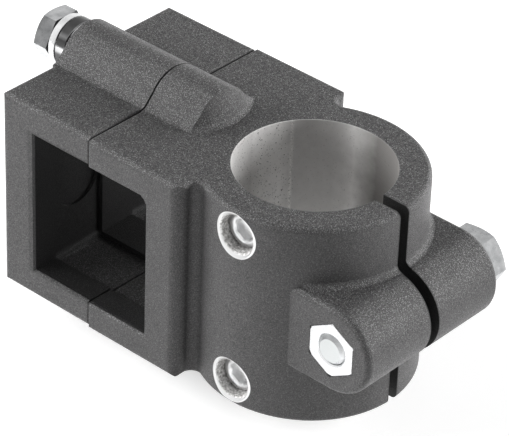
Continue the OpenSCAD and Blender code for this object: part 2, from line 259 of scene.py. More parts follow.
class Nodes:
    """Adds nodes and links to one material's node tree."""

    def __init__(self, name):
        self.material = bpy.data.materials.new(name)
        self.material.use_nodes = True
        self.tree = self.material.node_tree
        self.tree.nodes.clear()
        self.shader = self.add("ShaderNodeBsdfPrincipled")
        output = self.add("ShaderNodeOutputMaterial")
        self.put(self.shader.outputs[0], output.inputs["Surface"])
        coordinates = self.add("ShaderNodeTexCoord")
        self.where = coordinates.outputs["Object"]
        self.facing = coordinates.outputs["Normal"]

    def add(self, kind, **values):
        """A new node with some of its settings."""
        node = self.tree.nodes.new(kind)
        for key, value in values.items():
            setattr(node, key, value)
        return node

    def put(self, value, socket):
        """Links an output to an input, or sets the input to a number or a colour."""
        if isinstance(value, bpy.types.NodeSocket):
            self.tree.links.new(value, socket)
        elif isinstance(value, (int, float)):
            socket.default_value = value
        else:
            socket.default_value = (*value, 1.0)

    def set(self, node, **values):
        """Puts values into a node's inputs; an underscore stands for a space."""
        for key, value in values.items():
            self.put(value, node.inputs[key.replace("_", " ")])

    def math(self, operation, *values):
        """One step of arithmetic on values."""
        node = self.add("ShaderNodeMath", operation=operation)
        for socket, value in zip(node.inputs, values):
            self.put(value, socket)
        return node.outputs[0]

    def noise(self, scale, detail, roughness, where=None):
        """Noise from 0 to 1 on the piece's own coordinates; scale is per metre."""
        node = self.add("ShaderNodeTexNoise")
        self.put(where or self.where, node.inputs["Vector"])
        self.set(node, Scale=scale, Detail=detail, Roughness=roughness)
        return node.outputs["Fac"]

    def ramp(self, value, *stops):
        """A value turned into a colour by (place, colour) stops."""
        node = self.add("ShaderNodeValToRGB")
        self.put(value, node.inputs["Fac"])
        ramp = node.color_ramp
        while len(ramp.elements) < len(stops):
            ramp.elements.new(0.5)
        for element, (at, colour) in zip(ramp.elements, stops):
            element.position = at
            element.color = (*colour, 1.0)
        return node.outputs["Color"]

    def levels(self, value, low, high, to_low=0.0, to_high=1.0):
        """A value stretched from one range to another and held at its ends."""
        node = self.add("ShaderNodeMapRange")
        self.put(value, node.inputs["Value"])
        for key, number in (("From Min", low), ("From Max", high),
                            ("To Min", to_low), ("To Max", to_high)):
            node.inputs[key].default_value = number
        return node.outputs["Result"]

    def blend(self, kind, *values):
        """A blend by a factor of two things of one kind."""
        node = self.add("ShaderNodeMix", data_type=kind)
        sockets = [s for s in node.inputs if s.enabled]
        for socket, value in zip(sockets, values):
            self.put(value, socket)
        return next(s for s in node.outputs if s.enabled)

    def mix(self, factor, a, b):
        """A blend of two colours."""
        return self.blend("RGBA", factor, a, b)

    def mix_value(self, factor, a, b):
        """A blend of two values."""
        return self.blend("FLOAT", factor, a, b)

    def mix_normal(self, factor, a, b):
        """A blend of two normals."""
        return self.blend("VECTOR", factor, a, b)

    def scaled(self, colour, factor):
        """A colour made brighter or darker by a factor."""
        node = self.add("ShaderNodeVectorMath", operation="SCALE")
        self.put(colour, node.inputs[0])
        self.put(factor, node.inputs["Scale"])
        return node.outputs[0]

    def bump(self, height, strength, distance):
        """A normal roughened by a height map; distance is the height of 1."""
        node = self.add("ShaderNodeBump")
        self.set(node, Height=height, Strength=strength, Distance=distance)
        return node.outputs["Normal"]

    def xyz(self, where=None):
        """The three parts of a place, or of the way that a surface faces."""
        node = self.add("ShaderNodeSeparateXYZ")
        self.put(where or self.where, node.inputs[0])
        return node.outputs[0], node.outputs[1], node.outputs[2]

    def length(self, a, b):
        """Distance from the origin of the point a, b."""
        squares = self.math("ADD", self.math("MULTIPLY", a, a), self.math("MULTIPLY", b, b))
        return self.math("SQRT", squares)


def bare_where(n, look):
    """1 on the machined places of the main casting: bore, mouths, and the mouths' rims."""
    x, y, z = n.xyz()
    bore = n.levels(n.length(x, y), look.bore_radius + 0.00009, look.bore_radius + 0.00004)
    from_screw = n.math("SUBTRACT", n.math("ABSOLUTE", z), look.screw_height)
    radius = n.length(x, from_screw)
    mouth = n.levels(radius, look.mouth_radius + 0.00012, look.mouth_radius)
    # the mouths are on the front wall of the ring alone
    mouth = n.math("MULTIPLY", mouth, n.levels(y, -0.016, -0.017))
    # a rim is the outermost 0.6 mm of a mouth
    rim = n.levels(radius, look.mouth_radius - 0.0009, look.mouth_radius - 0.0006)
    return bore, mouth, rim


def bored_metal(n, look):
    """Colour, roughness and relief of the bore: turned, pitted, with painted light in bands."""
    x, y, z = n.xyz()
    around = n.math("ARCTAN2", y, x)
    waver = n.levels(n.noise(260.0, 2.0, 0.6), 0.3, 0.7, -0.03, 0.03)
    angle = n.math("ADD", around, waver)
    front = n.levels(around, math.radians(-60), math.radians(-100))
    # painted light and painted reflections: bands by angle, even on the wall nearest to the front
    painted_light = n.ramp(n.levels(angle, 0.0, math.pi),
                  *((a / 180, (v, v, v)) for a, v in BORE_PAINTED_LIGHT))
    painted_light = n.mix(front, painted_light, 3 * (BORE_PAINTED_LIGHT_FRONT,))
    # turned lines run round the bore, so they depend on the height alone
    lines = n.add("ShaderNodeTexNoise", noise_dimensions="1D")
    n.put(z, lines.inputs["W"])
    n.set(lines, Scale=3200.0, Detail=2.0, Roughness=0.6)
    lines = lines.outputs["Fac"]
    smear = n.noise(380.0, 4.0, 0.62)
    grit = n.noise(2400.0, 2.0, 0.5)
    metal = n.mix(n.levels(smear, 0.3, 0.7, 0.0, 0.3), look.bright_metal, look.bare_light)
    metal = n.mix(painted_light, look.bare_dark, metal)
    # a line of bright specks at one angle, where the worn part begins
    from_line = n.math("ABSOLUTE", n.math("SUBTRACT", around, SPECKLED_LINE))
    line = n.math("MULTIPLY", n.levels(from_line, 0.03, 0.0), n.levels(grit, 0.42, 0.60))
    metal = n.mix(line, metal, look.line_colour)
    # pits, thickly strewn in the worn part and thinly elsewhere
    worn = n.levels(angle, math.radians(143), math.radians(150))
    worn = n.math("MAXIMUM", worn, front)
    pits = n.math("MULTIPLY", n.levels(grit, 0.36, 0.30), n.levels(worn, 0.0, 1.0, 0.25, 1.0))
    metal = n.mix(pits, metal, look.pit_colour)
    rough = n.levels(lines, 0.3, 0.7, look.bare_roughness - 0.05, look.bare_roughness + 0.08)
    height = n.math("SUBTRACT", lines, n.math("MULTIPLY", pits, 1.5))
    return metal, rough, n.bump(height, 0.25, 0.00003)


def coat_shade(n, look):
    """How bright the coat is: a bit cloudy, with painted shade in the square opening and slot."""
    x, y, z = n.xyz()
    half = look.opening_half
    depth = look.block_depth / 2
    slot_side = look.slot_width / 2
    from_middle = n.math("ABSOLUTE", n.math("SUBTRACT", x, look.opening_middle))
    from_centre = n.math("ABSOLUTE", y)
    # painted shade: the coat is darkened inside the square opening and in the slot
    inside = n.math("MULTIPLY", n.levels(n.math("ABSOLUTE", z), half + 0.0004, half),
                    n.levels(from_middle, half + 0.0004, half))
    inside = n.math("MULTIPLY", inside,
                    n.levels(from_centre, depth - 0.0002, depth - 0.0015))
    slot = n.math("MULTIPLY", n.levels(from_centre, slot_side + 0.0005, slot_side),
                  n.levels(x, look.bore_radius - 0.0005, look.bore_radius))
    inside = n.math("MAXIMUM", inside, slot)
    cloud = n.levels(n.noise(70.0, 3.0, 0.6), 0.3, 0.7, 0.90, 1.10)
    return n.math("MULTIPLY", cloud, n.levels(inside, 0.0, 1.0, 1.0, look.inside_painted_shade))


def coat(n, look):
    """Colour, roughness and relief of the coat: coarse on top and finer on upright walls,
    with painted shade and painted glints on the tops and a painted highlight where it slants.
    """
    per_metre = 1.0 / look.grain_size
    grain = n.noise(per_metre, 2.0, 0.5)
    fine = n.noise(2.6 * per_metre, 2.0, 0.6)
    # level is 0 on upright walls and 1 on flat tops; slant is 1 between the two
    level = n.math("ABSOLUTE", n.xyz(n.facing)[2])
    coarse_and_shaded = n.levels(level, 0.10, 0.85, 0.30, 1.0)
    slant = n.math("MULTIPLY", n.levels(level, 0.25, 0.60), n.levels(level, 0.995, 0.93))
    speck = n.levels(n.mix_value(0.35, grain, fine), 0.41, 0.63)
    # painted shade: between its grains the coat is darker on the tops than on upright walls
    painted_top_shade = tuple(0.45 * part for part in look.coat_dark)  # darker still on the tops
    wall = n.mix(n.levels(speck, 0.0, 1.0, 0.22, 0.82), look.coat_dark, look.coat_light)
    colour = n.mix(coarse_and_shaded, wall, n.mix(speck, painted_top_shade, look.coat_light))
    # painted glints: bright grains, in patches, more of them where the surface slants
    dots = n.add("ShaderNodeTexVoronoi", feature="F1")
    n.set(dots, Vector=n.where, Scale=per_metre)
    patchy = n.math("ADD", n.noise(0.7 * per_metre, 1.0, 0.5), n.math("MULTIPLY", slant, 0.10))
    painted_glint = n.math("MULTIPLY", n.levels(dots.outputs["Distance"], 0.42, 0.20),
                   n.levels(patchy, 0.46, 0.58))
    painted_glint = n.math("MULTIPLY", painted_glint, coarse_and_shaded)
    colour = n.mix(painted_glint, colour, look.coat_painted_glint)
    # painted highlight: slanting surfaces, such as rounded edges, are made lighter
    colour = n.mix(n.math("MULTIPLY", slant, 0.09), colour, look.coat_painted_glint)
    colour = n.scaled(colour, coat_shade(n, look))
    rough = n.levels(speck, 0.0, 1.0, look.coat_roughness + 0.10, look.coat_roughness - 0.08)
    normal = n.bump(n.mix_value(0.3, grain, fine),
                    n.math("MULTIPLY", coarse_and_shaded, look.grain_strength), look.grain_size * 0.9)
    return colour, rough, normal


def powder_coat(look, name, machined):
    """Black powder coat; the machined places of the main casting are left bare."""
    n = Nodes(name)
    colour, rough, normal = coat(n, look)
    n.shader.inputs["Specular IOR Level"].default_value = look.coat_gloss
    if not machined:
        n.set(n.shader, Base_Color=colour, Roughness=rough, Normal=normal, Metallic=0.0)
        return n.material
    bore, mouth, rim = bare_where(n, look)
    bare = n.math("MAXIMUM", bore, mouth)
    metal, bare_rough, bare_normal = bored_metal(n, look)
    mottle = n.levels(n.noise(1500.0, 3.0, 0.6), 0.35, 0.65)
    wall = n.mix(mottle, look.bare_dark, look.bright_metal)
    metal = n.mix(mouth, metal, n.mix(rim, wall, look.mouth_colour))
    bright = n.math("MULTIPLY", mouth, n.levels(rim, 0.0, 1.0, 0.3, 1.0))
    n.set(n.shader, Base_Color=n.mix(bare, colour, metal),
          Roughness=n.mix_value(bare, rough, n.mix_value(mouth, bare_rough, 0.42)),
          Metallic=n.math("MAXIMUM", n.math("MULTIPLY", bore, look.bore_metallic), bright),
          Normal=n.mix_normal(bare, normal, bare_normal))
    return n.material


def paint_shade_by_facing(n, tint, painted_shades):
    """Paints shade on a metal by how far it faces up; painted_shades are (up, shade) pairs."""
    stops = [((z + 1) / 2, (tone, tone, tone)) for z, tone in painted_shades]
    shade = n.add("ShaderNodeVectorMath", operation="MULTIPLY")
    n.put(tint, shade.inputs[0])
    n.put(n.ramp(n.levels(n.xyz(n.facing)[2], -1.0, 1.0), *stops), shade.inputs[1])
    return shade.outputs[0]


def plated(name, colour, dark, roughness, grain_size, strength, painted_shades=None, point=None):
    """Zinc-plated steel, cloudy and finely grained.

    painted_shades paints shade on it by how far it faces up, and point is the colour of an
    end that faces the front.
    """
    n = Nodes(name)
    cloud = n.noise(330.0, 4.0, 0.6)
    grain = n.noise(1.0 / grain_size, 3.0, 0.6)
    tint = n.mix(n.levels(cloud, 0.32, 0.68), dark, colour)
    # painted shade: the metal is made darker or lighter by how far it faces up
    if painted_shades:
        tint = paint_shade_by_facing(n, tint, painted_shades)
    if point is not None:
        end = n.levels(n.xyz(n.facing)[1], -0.7, -0.95)
        tint = n.mix(end, tint, point)
    rough = n.levels(grain, 0.3, 0.7, roughness - 0.04, roughness + 0.08)
    normal = n.bump(grain, strength, grain_size * 0.35)
    n.set(n.shader, Base_Color=tint, Roughness=rough, Normal=normal, Metallic=1.0)
    return n.material


def turned_steel(name, colour, dark, roughness, centres, painted_shades):
    """Steel with fine turned rings round two axes along X, at heights of +-centres,
    with painted shade and painted highlights by how far it faces up.
    """
    n = Nodes(name)
    x, y, z = n.xyz()
    from_axis = n.math("SUBTRACT", n.math("ABSOLUTE", z), centres)
    radius = n.length(y, from_axis)
    place = n.add("ShaderNodeCombineXYZ")
    n.put(radius, place.inputs[0])
    n.put(x, place.inputs[1])
    rings = n.noise(2600.0, 2.0, 0.5, place.outputs[0])
    cloud = n.noise(260.0, 3.0, 0.6)
    # painted shade and painted highlights by how far the surface faces up
    tint = paint_shade_by_facing(n, n.mix(n.levels(cloud, 0.3, 0.7), dark, colour), painted_shades)
    rough = n.levels(rings, 0.3, 0.7, roughness - 0.04, roughness + 0.06)
    normal = n.bump(rings, 0.3, 0.00004)
    n.set(n.shader, Base_Color=tint, Roughness=rough, Normal=normal, Metallic=1.0)
    return n.material


# ---------------------------------------------------------------- settings


def colour_prop(name, description, default):
    """A colour that the user may change."""
    return FloatVectorProperty(name=name, description=description, subtype="COLOR", size=3,
                               min=0.0, max=1.0, default=default)


def length_prop(name, description, default):
    """A size in metres that the user may change."""
    return FloatProperty(name=name, description=description, default=default, min=0.0,
                         precision=5, unit="LENGTH")


def share_prop(name, description, default):
    """A number from 0 to 1 that the user may change."""
    return FloatProperty(name=name, description=description, default=default, min=0.0,
                         max=1.0, subtype="FACTOR")


def angle_prop(name, description, degrees):
    """An angle that the user may change."""
    return FloatProperty(name=name, description=description, default=math.radians(degrees),
                         unit="ROTATION")


def power_prop(name, description, default):
    """A lamp's power in watts that the user may change."""
    return FloatProperty(name=name, description=description, default=default, min=0.0,
                         unit="POWER")


class CastingLook(PropertyGroup):
    """Finish of the two castings."""

    coat_dark: colour_prop("Coat, dark", "Powder coat between its grains", (0.030, 0.0295, 0.030))
    coat_light: colour_prop("Coat, light", "Powder coat on its grains", (0.098, 0.096, 0.097))
    # painted glints on the tops and painted highlight on slanting surfaces
    coat_painted_glint: colour_prop("Coat, glints", "Bright grains on the tops", (0.36, 0.36, 0.36))
    coat_roughness: share_prop("Coat roughness", "Mean roughness of the coat", 0.48)
    coat_gloss: share_prop("Coat gloss", "How strongly the coat mirrors light", 0.4)
    grain_size: length_prop("Grain size", "Width of one grain of the coat", 0.00029)
    grain_strength: share_prop("Grain strength", "How strongly the grain stands out", 1.0)
    opening_middle: FloatProperty(name="Opening middle", unit="LENGTH", default=-0.046,
                                  description="Place along X of the square opening's middle")
    opening_half: length_prop("Opening half", "Half the width of the square opening, with the "
                              "relief in its walls", 0.0208)
    block_depth: length_prop("Block depth", "Depth of the square block", 0.061)
    slot_width: length_prop("Slot width", "Width of the slot in the ring", 0.003)
    # painted shade in the square opening and the slot
    inside_painted_shade: share_prop("Inside shade", "Brightness of the coat in the opening and the slot",
                             0.16)
    bare_dark: colour_prop("Bare metal, dark", "Machined bore where it is dull",
                           (0.28, 0.272, 0.264))
    bare_light: colour_prop("Bare metal, light", "Machined bore where it is smeared",
                            (0.62, 0.605, 0.59))
    # the bright metal that the bore's painted light brings in, also in the mouths' mottle
    bright_metal: colour_prop("Bright metal", "Machined bore where it is bright",
                            (0.94, 0.932, 0.922))
    line_colour: colour_prop("Speckled line", "Specks where the worn part of the bore begins",
                             (0.95, 0.94, 0.92))
    pit_colour: colour_prop("Pits", "Pits in the bore", (0.12, 0.115, 0.11))
    bore_metallic: share_prop("Bore metallic", "How metallic the bore looks", 0.5)
    bare_roughness: share_prop("Bare roughness", "Mean roughness of the bore", 0.42)
    mouth_colour: colour_prop("Mouth metal", "Countersunk mouths of the screw holes",
                              (0.86, 0.86, 0.86))
    bore_radius: length_prop("Bore radius", "Radius of the bare bore", 0.020)
    screw_height: length_prop("Screw height", "Height of the set screws above the middle",
                              middle("upper_set_screw").z)
    mouth_radius: length_prop("Mouth radius", "Radius of the countersunk mouths", 0.00605)


class FastenerLook(PropertyGroup):
    """Sizes and finish of the bolts, nut, washers, bushes and set screws."""

    across_flats: length_prop("Across flats", "Width of the ridge bolts' heads and the nut", 0.013)
    ring_flats: length_prop("Ring bolt flats", "Width across flats of the ring bolt's head", 0.015)
    thread_diameter: length_prop("Thread", "Diameter of the bolts' thread", 0.008)
    thread_pitch: length_prop("Pitch", "Pitch of the bolts' thread", 0.00125)
    screw_pitch: length_prop("Screw pitch", "Pitch of the set screws' thread", 0.0015)
    socket_flats: length_prop("Socket", "Width across flats of the set screws' sockets", 0.005)
    socket_depth: length_prop("Socket depth", "Depth of the set screws' sockets", 0.0024)
    hole_play: length_prop("Play", "Play of washers and bushes round the bolts", 0.0002)
    spring_split: length_prop("Spring split", "Gap in the spring washers", 0.001)
    steps: IntProperty(name="Steps", description="Segments round a turned piece",
                       default=72, min=24, max=128)
    plate: colour_prop("Plate", "Zinc plate", (0.88, 0.89, 0.90))
    plate_dark: colour_prop("Plate, dull", "Zinc plate where it is dull", (0.52, 0.53, 0.54))
    nut: colour_prop("Nut", "Bright zinc plate of the nut", (0.90, 0.905, 0.91))
    nut_dark: colour_prop("Nut, dull", "Plate of the nut where it is dull", (0.76, 0.77, 0.78))
    bolt_end: colour_prop("Bolt end", "Ring bolt's end in the nut", (0.66, 0.68, 0.68))
    washer: colour_prop("Washer", "Washers", (0.90, 0.905, 0.91))
    washer_dark: colour_prop("Washer, dull", "Washers where they are dull", (0.66, 0.665, 0.67))
    bush: colour_prop("Bush", "Turned bushes", (0.72, 0.725, 0.73))
    bush_dark: colour_prop("Bush, dark", "Turned bushes where they are dark",
                           (0.42, 0.42, 0.425))


class StageLook(PropertyGroup):
    """Floor, lights and camera."""

    floor_colour: colour_prop("Floor", "Floor and backdrop", (0.90, 0.90, 0.90))
    floor_glow: share_prop("Floor glow", "Added white that the camera and the metal see", 0.40)
    left_power: power_prop("Left light", "Power of the soft light at the front left", 36.0)
    right_power: power_prop("Right light", "Power of the soft light at the back right", 40.0)
    sky: share_prop("Surroundings", "Strength of the light all round", 0.10)
    azimuth: angle_prop("Azimuth", "Camera's turn to the right of the front", 41.0)
    elevation: angle_prop("Elevation", "Camera's height angle", 34.1)
    roll: angle_prop("Roll", "Camera's tilt to one side", 2.15)
    distance: length_prop("Distance", "From the camera to the point it looks at", 0.7435)
    lens: FloatProperty(name="Lens", description="Focal length on a 36 mm sensor",
                        default=221.6, min=1.0, unit="CAMERA")
    target: FloatVectorProperty(name="Target", description="Point that the camera looks at",
                                default=(-0.00565, -0.01463, 0.01690), size=3,
                                subtype="TRANSLATION", unit="LENGTH")


# ---------------------------------------------------------------- operators


class CLAMP_OT_finish_castings(Operator):
    """Give the body and the loose half their powder coat"""

    bl_idname = "clamp.finish_castings"
    bl_label = "Finish Castings"

    def execute(self, context):
        look = context.scene.clamp_casting
        finishes = {"main_body": powder_coat(look, "Powder coat, bored", machined=True),
                    "clamp_half": powder_coat(look, "Powder coat", machined=False)}
        for name, material in finishes.items():
            node = frame["nodes"][name]
            if not node.material_slots:
                raise RuntimeError(name + " has no material slot")
            for slot in node.material_slots:
                slot.material = material
        return {"FINISHED"}


def hexagon_bolt(look, across_flats, length, head_height, turn_by):
    """Hexagon bolt along local Z: head above 0, shank and thread below."""
    corner = across_flats / math.sqrt(3)
    flat = across_flats / 2
    rim = flat * 0.95
    seat_radius = flat * 0.9
    face = 0.0004  # height of the round seat under the hexagon
    clear = 0.00001  # between the seat and the washer under it
    drop = (corner - rim) * math.tan(math.radians(30))  # of the corners
    bm = bmesh.new()
    turn(bm, [(0, face), (corner, face), (corner, head_height - drop), (rim, head_height),
              (0, head_height)], steps=look.steps)
    mill_flats(bm, across_flats, face, head_height, turn_by)
    seat = bmesh.new()
    turn(seat, [(0, clear), (seat_radius, clear), (seat_radius, face + 0.0002),
                (0, face + 0.0002)], steps=look.steps)
    join(bm, seat)
    radius = look.thread_diameter / 2
    root = radius - 0.61 * look.thread_pitch
    plain = length * 0.44  # shank without thread
    tip = 0.0009  # tapered end of the thread
    step = 0.0002  # chamfer of the shank's end and overlap of the shells
    shank = bmesh.new()
    turn(shank, [(0, -plain), (radius - step, -plain), (radius, -plain + step),
                 (radius, 0.0003), (0, 0.0003)], steps=look.steps)
    join(bm, shank)
    rod = bmesh.new()
    thread(rod, radius, look.thread_pitch, -length + tip, -plain + step, radius - root)
    join(bm, rod)
    point = bmesh.new()
    turn(point, [(0, -length), (root - 0.00015, -length), (radius - 0.0001, -length + tip),
                 (root, -length + 0.0012), (0, -length + 0.0012)], steps=look.steps)
    join(bm, point)
    return bm


class CLAMP_OT_add_bolts(Operator):
    """Add the two ridge bolts and the ring bolt"""

    bl_idname = "clamp.add_bolts"
    bl_label = "Add Bolts"

    def execute(self, context):
        look = context.scene.clamp_fastener
        material = plated("Zinc plate, ridge bolts", look.plate, look.plate_dark,
                          roughness=0.30, grain_size=0.0004, strength=0.22,
                          painted_shades=RIDGE_BOLT_PAINTED_SHADE)
        for side in ("top", "bottom"):
            node = side + "_bolt"
            low, high = span(node, 0)
            seat = span(side + "_spring_washer", 0)[0]
            bm = hexagon_bolt(look, look.across_flats, high - seat, seat - low,
                              math.radians(90))
            piece(bm, node + "_look", outward_from_clamp(node, seat), node, material)
        material = plated("Zinc plate, ring bolt", look.plate, look.plate_dark,
                          roughness=0.30, grain_size=0.0004, strength=0.22,
                          painted_shades=RING_BOLT_PAINTED_SHADE, point=look.bolt_end)
        low, high = span("ring_bolt", 1)
        seat = span("ring_bolt_washer", 1)[1]
        bm = hexagon_bolt(look, look.ring_flats, seat - low, high - seat, 0.0)
        piece(bm, "ring_bolt_look", outward_from_lug("ring_bolt", seat), "ring_bolt", material)
        return {"FINISHED"}


class CLAMP_OT_add_nut(Operator):
    """Add the nut sunk in the lug"""

    bl_idname = "clamp.add_nut"
    bl_label = "Add Nut"

    def execute(self, context):
        look = context.scene.clamp_fastener
        low, high = span("ring_nut", 1)
        height = high - low
        corner = look.across_flats / math.sqrt(3)
        rim, drop = corner - 0.0005, 0.0003  # chamfer outside
        hole = look.thread_diameter / 2 + 0.00005
        lead = 0.0004  # chamfer of the hole
        bm = bmesh.new()
        turn(bm, [(hole, lead), (hole + lead, 0), (rim, 0), (corner, drop),
                  (corner, height - drop), (rim, height), (hole + lead, height),
                  (hole, height - lead)], closed=True, steps=look.steps)
        mill_flats(bm, look.across_flats, 0, height, math.radians(30))
        material = plated("Zinc plate, nut", look.nut, look.nut_dark,
                          roughness=0.22, grain_size=0.00045, strength=0.12)
        piece(bm, "ring_nut_look", outward_from_lug("ring_nut", low), "ring_nut", material)
        return {"FINISHED"}


def plain_washer(inner, outer, height, steps):
    """Punched washer: rolled over at its upper rims, square below."""
    roll = min(0.0003, height / 4)
    bm = bmesh.new()
    turn(bm, [(inner, 0), (outer - 0.00008, 0), (outer, 0.00008), (outer, height - roll),
              (outer - roll * 0.35, height - roll * 0.3), (outer - roll, height),
              (inner + roll, height), (inner, height - roll)], closed=True, steps=steps)
    return bm


class CLAMP_OT_add_washers(Operator):
    """Add the plain washers on the ridge ends and on the lug"""

    bl_idname = "clamp.add_washers"
    bl_label = "Add Plain Washers"

    def execute(self, context):
        look = context.scene.clamp_fastener
        material = plated("Zinc plate, washers", look.washer, look.washer_dark,
                          roughness=0.20, grain_size=0.0006, strength=0.08)
        inner = look.thread_diameter / 2 + look.hole_play
        for side in ("top", "bottom"):
            node = side + "_seat_washer"
            low, high = span(node, 0)
            outer = half_width(node, 1)
            bm = plain_washer(inner, outer, high - low, look.steps)
            piece(bm, node + "_look", outward_from_clamp(node, high), node, material,
                  edge=0.00008)
        node = "ring_bolt_washer"
        low, high = span(node, 1)
        outer = half_width(node, 0)
        bm = plain_washer(inner, outer, high - low, look.steps)
        piece(bm, node + "_look", outward_from_lug(node, low), node, material,
              edge=0.00008)
        return {"FINISHED"}


class CLAMP_OT_add_bushes(Operator):
    """Add the turned bushes between the washers"""

    bl_idname = "clamp.add_bushes"
    bl_label = "Add Bushes"

    def execute(self, context):
        look = context.scene.clamp_fastener
        material = turned_steel("Turned steel", look.bush, look.bush_dark, roughness=0.14,
                                centres=middle("top_bush").z, painted_shades=BUSH_PAINTED_SHADE_AND_HIGHLIGHTS)
        inner = look.thread_diameter / 2 + look.hole_play
        for side in ("top", "bottom"):
            node = side + "_bush"
            low, high = span(node, 0)
            outer = half_width(node, 1)
            height = high - low
            rim, hole = 0.0005, 0.0002  # chamfers outside and inside
            bm = bmesh.new()
            turn(bm, [(inner, hole), (inner + hole, 0), (outer - rim, 0), (outer, rim),
                      (outer, height - rim), (outer - rim, height), (inner + hole, height),
                      (inner, height - hole)], closed=True, steps=look.steps)
            piece(bm, node + "_look", outward_from_clamp(node, high), node, material,
                  edge=0.00012)
        return {"FINISHED"}


def split_washer(look, outer, height, turned):
    """Spring washer above 0, with its split turned from +X by an angle."""
    inner = look.thread_diameter / 2 + look.hole_play
    gap = look.spring_split / outer
    bm = bmesh.new()
    section = [bm.verts.new((r, 0, z)) for r, z in
               ((inner, 0), (outer, 0), (outer, height), (inner, height))]
    first = bm.faces.new(section)
    bmesh.ops.spin(
        bm, geom=[first] + list(first.edges) + section, cent=(0, 0, 0), axis=(0, 0, 1),
        dvec=(0, 0, 0), angle=math.tau - gap, steps=look.steps, use_merge=False,
        use_duplicate=False)
    # the two ends are cut at a slant of 25 degrees
    lean = height / 2 * math.tan(math.radians(25)) / outer
    for level, way in ((0, -1), (height, 1)):
        verts = [v for v in bm.verts if abs(v.co.z - level) < 1e-6]
        bmesh.ops.rotate(bm, verts=verts, cent=(0, 0, 0),
                         matrix=Matrix.Rotation(way * lean, 3, "Z"))
    bmesh.ops.rotate(bm, verts=bm.verts, cent=(0, 0, 0),
                     matrix=Matrix.Rotation(turned + gap / 2, 3, "Z"))
    return bm


class CLAMP_OT_add_spring_washers(Operator):
    """Add the split spring washers under the ridge bolts' heads"""

    bl_idname = "clamp.add_spring_washers"
    bl_label = "Add Spring Washers"

    def execute(self, context):
        look = context.scene.clamp_fastener
        material = plated("Zinc plate, springs", look.washer, look.washer_dark,
                          roughness=0.24, grain_size=0.0006, strength=0.10)
        for side, turned in (("top", 60), ("bottom", -60)):
            node = side + "_spring_washer"
            low, high = span(node, 0)
            outer = half_width(node, 1)
            bm = split_washer(look, outer, high - low, math.radians(turned))
            piece(bm, node + "_look", outward_from_clamp(node, high), node, material,
                  edge=0.00018)
        return {"FINISHED"}


def set_screw(look, radius, length):
    """Set screw along local Z from 0, with its socket at the upper end."""
    corner = look.socket_flats / math.sqrt(3)
    lip = 0.0003  # chamfer of the socket
    depth = 0.0009  # of the thread
    steps = 48
    bm = bmesh.new()
    # face, from the thread's end to the socket's lip, and the six-sided well
    turn(bm, [(radius - 0.0012, length - 0.0009), (radius - 0.0007, length),
              (corner + lip, length)], steps=steps)
    ring = [e for e in bm.edges if e.is_boundary
            and all(abs(v.co.xy.length - corner - lip) < 1e-6 for v in e.verts)]
    made = bmesh.ops.create_circle(bm, segments=6, radius=corner, cap_ends=False,
                                   matrix=Matrix.Translation((0, 0, length - lip)))
    hexagon = list({e for v in made["verts"] for e in v.link_edges})
    bmesh.ops.bridge_loops(bm, edges=ring + hexagon)
    walls = bmesh.ops.extrude_edge_only(bm, edges=hexagon)
    low_verts = [v for v in walls["geom"] if isinstance(v, bmesh.types.BMVert)]
    bmesh.ops.translate(bm, verts=low_verts, vec=(0, 0, -(look.socket_depth - lip)))
    floor = list({e for v in low_verts for e in v.link_edges
                  if all(w in low_verts for w in e.verts)})
    bmesh.ops.holes_fill(bm, edges=floor, sides=0)
    rod = bmesh.new()
    thread(rod, radius, look.screw_pitch, 0.0006, length - 0.0005, depth)
    # the rod is open above, where the well goes down into it
    tops = [f for f in rod.faces
            if f.normal.z > 0.9 and f.calc_center_median().xy.length < radius / 2]
    bmesh.ops.delete(rod, geom=tops, context="FACES")
    join(bm, rod)
    # chamfered point
    cone = bmesh.new()
    turn(cone, [(0, 0), (radius - 0.0016, 0), (radius - 0.0005, 0.0007),
                (radius - 0.0012, 0.001), (0, 0.001)], steps=steps)
    join(bm, cone)
    return bm


class CLAMP_OT_add_set_screws(Operator):
    """Add the set screws in the ring"""

    bl_idname = "clamp.add_set_screws"
    bl_label = "Add Set Screws"

    def execute(self, context):
        look = context.scene.clamp_fastener
        material = plated("Zinc plate, screws", look.washer, look.washer_dark,
                          roughness=0.34, grain_size=0.0004, strength=0.12)
        for side in ("upper", "lower"):
            node = side + "_set_screw"
            low, high = span(node, 1)
            bm = set_screw(look, half_width(node, 0), high - low)
            piece(bm, node + "_look", outward_from_ring(node, high), node, material,
                  edge=0)
        return {"FINISHED"}


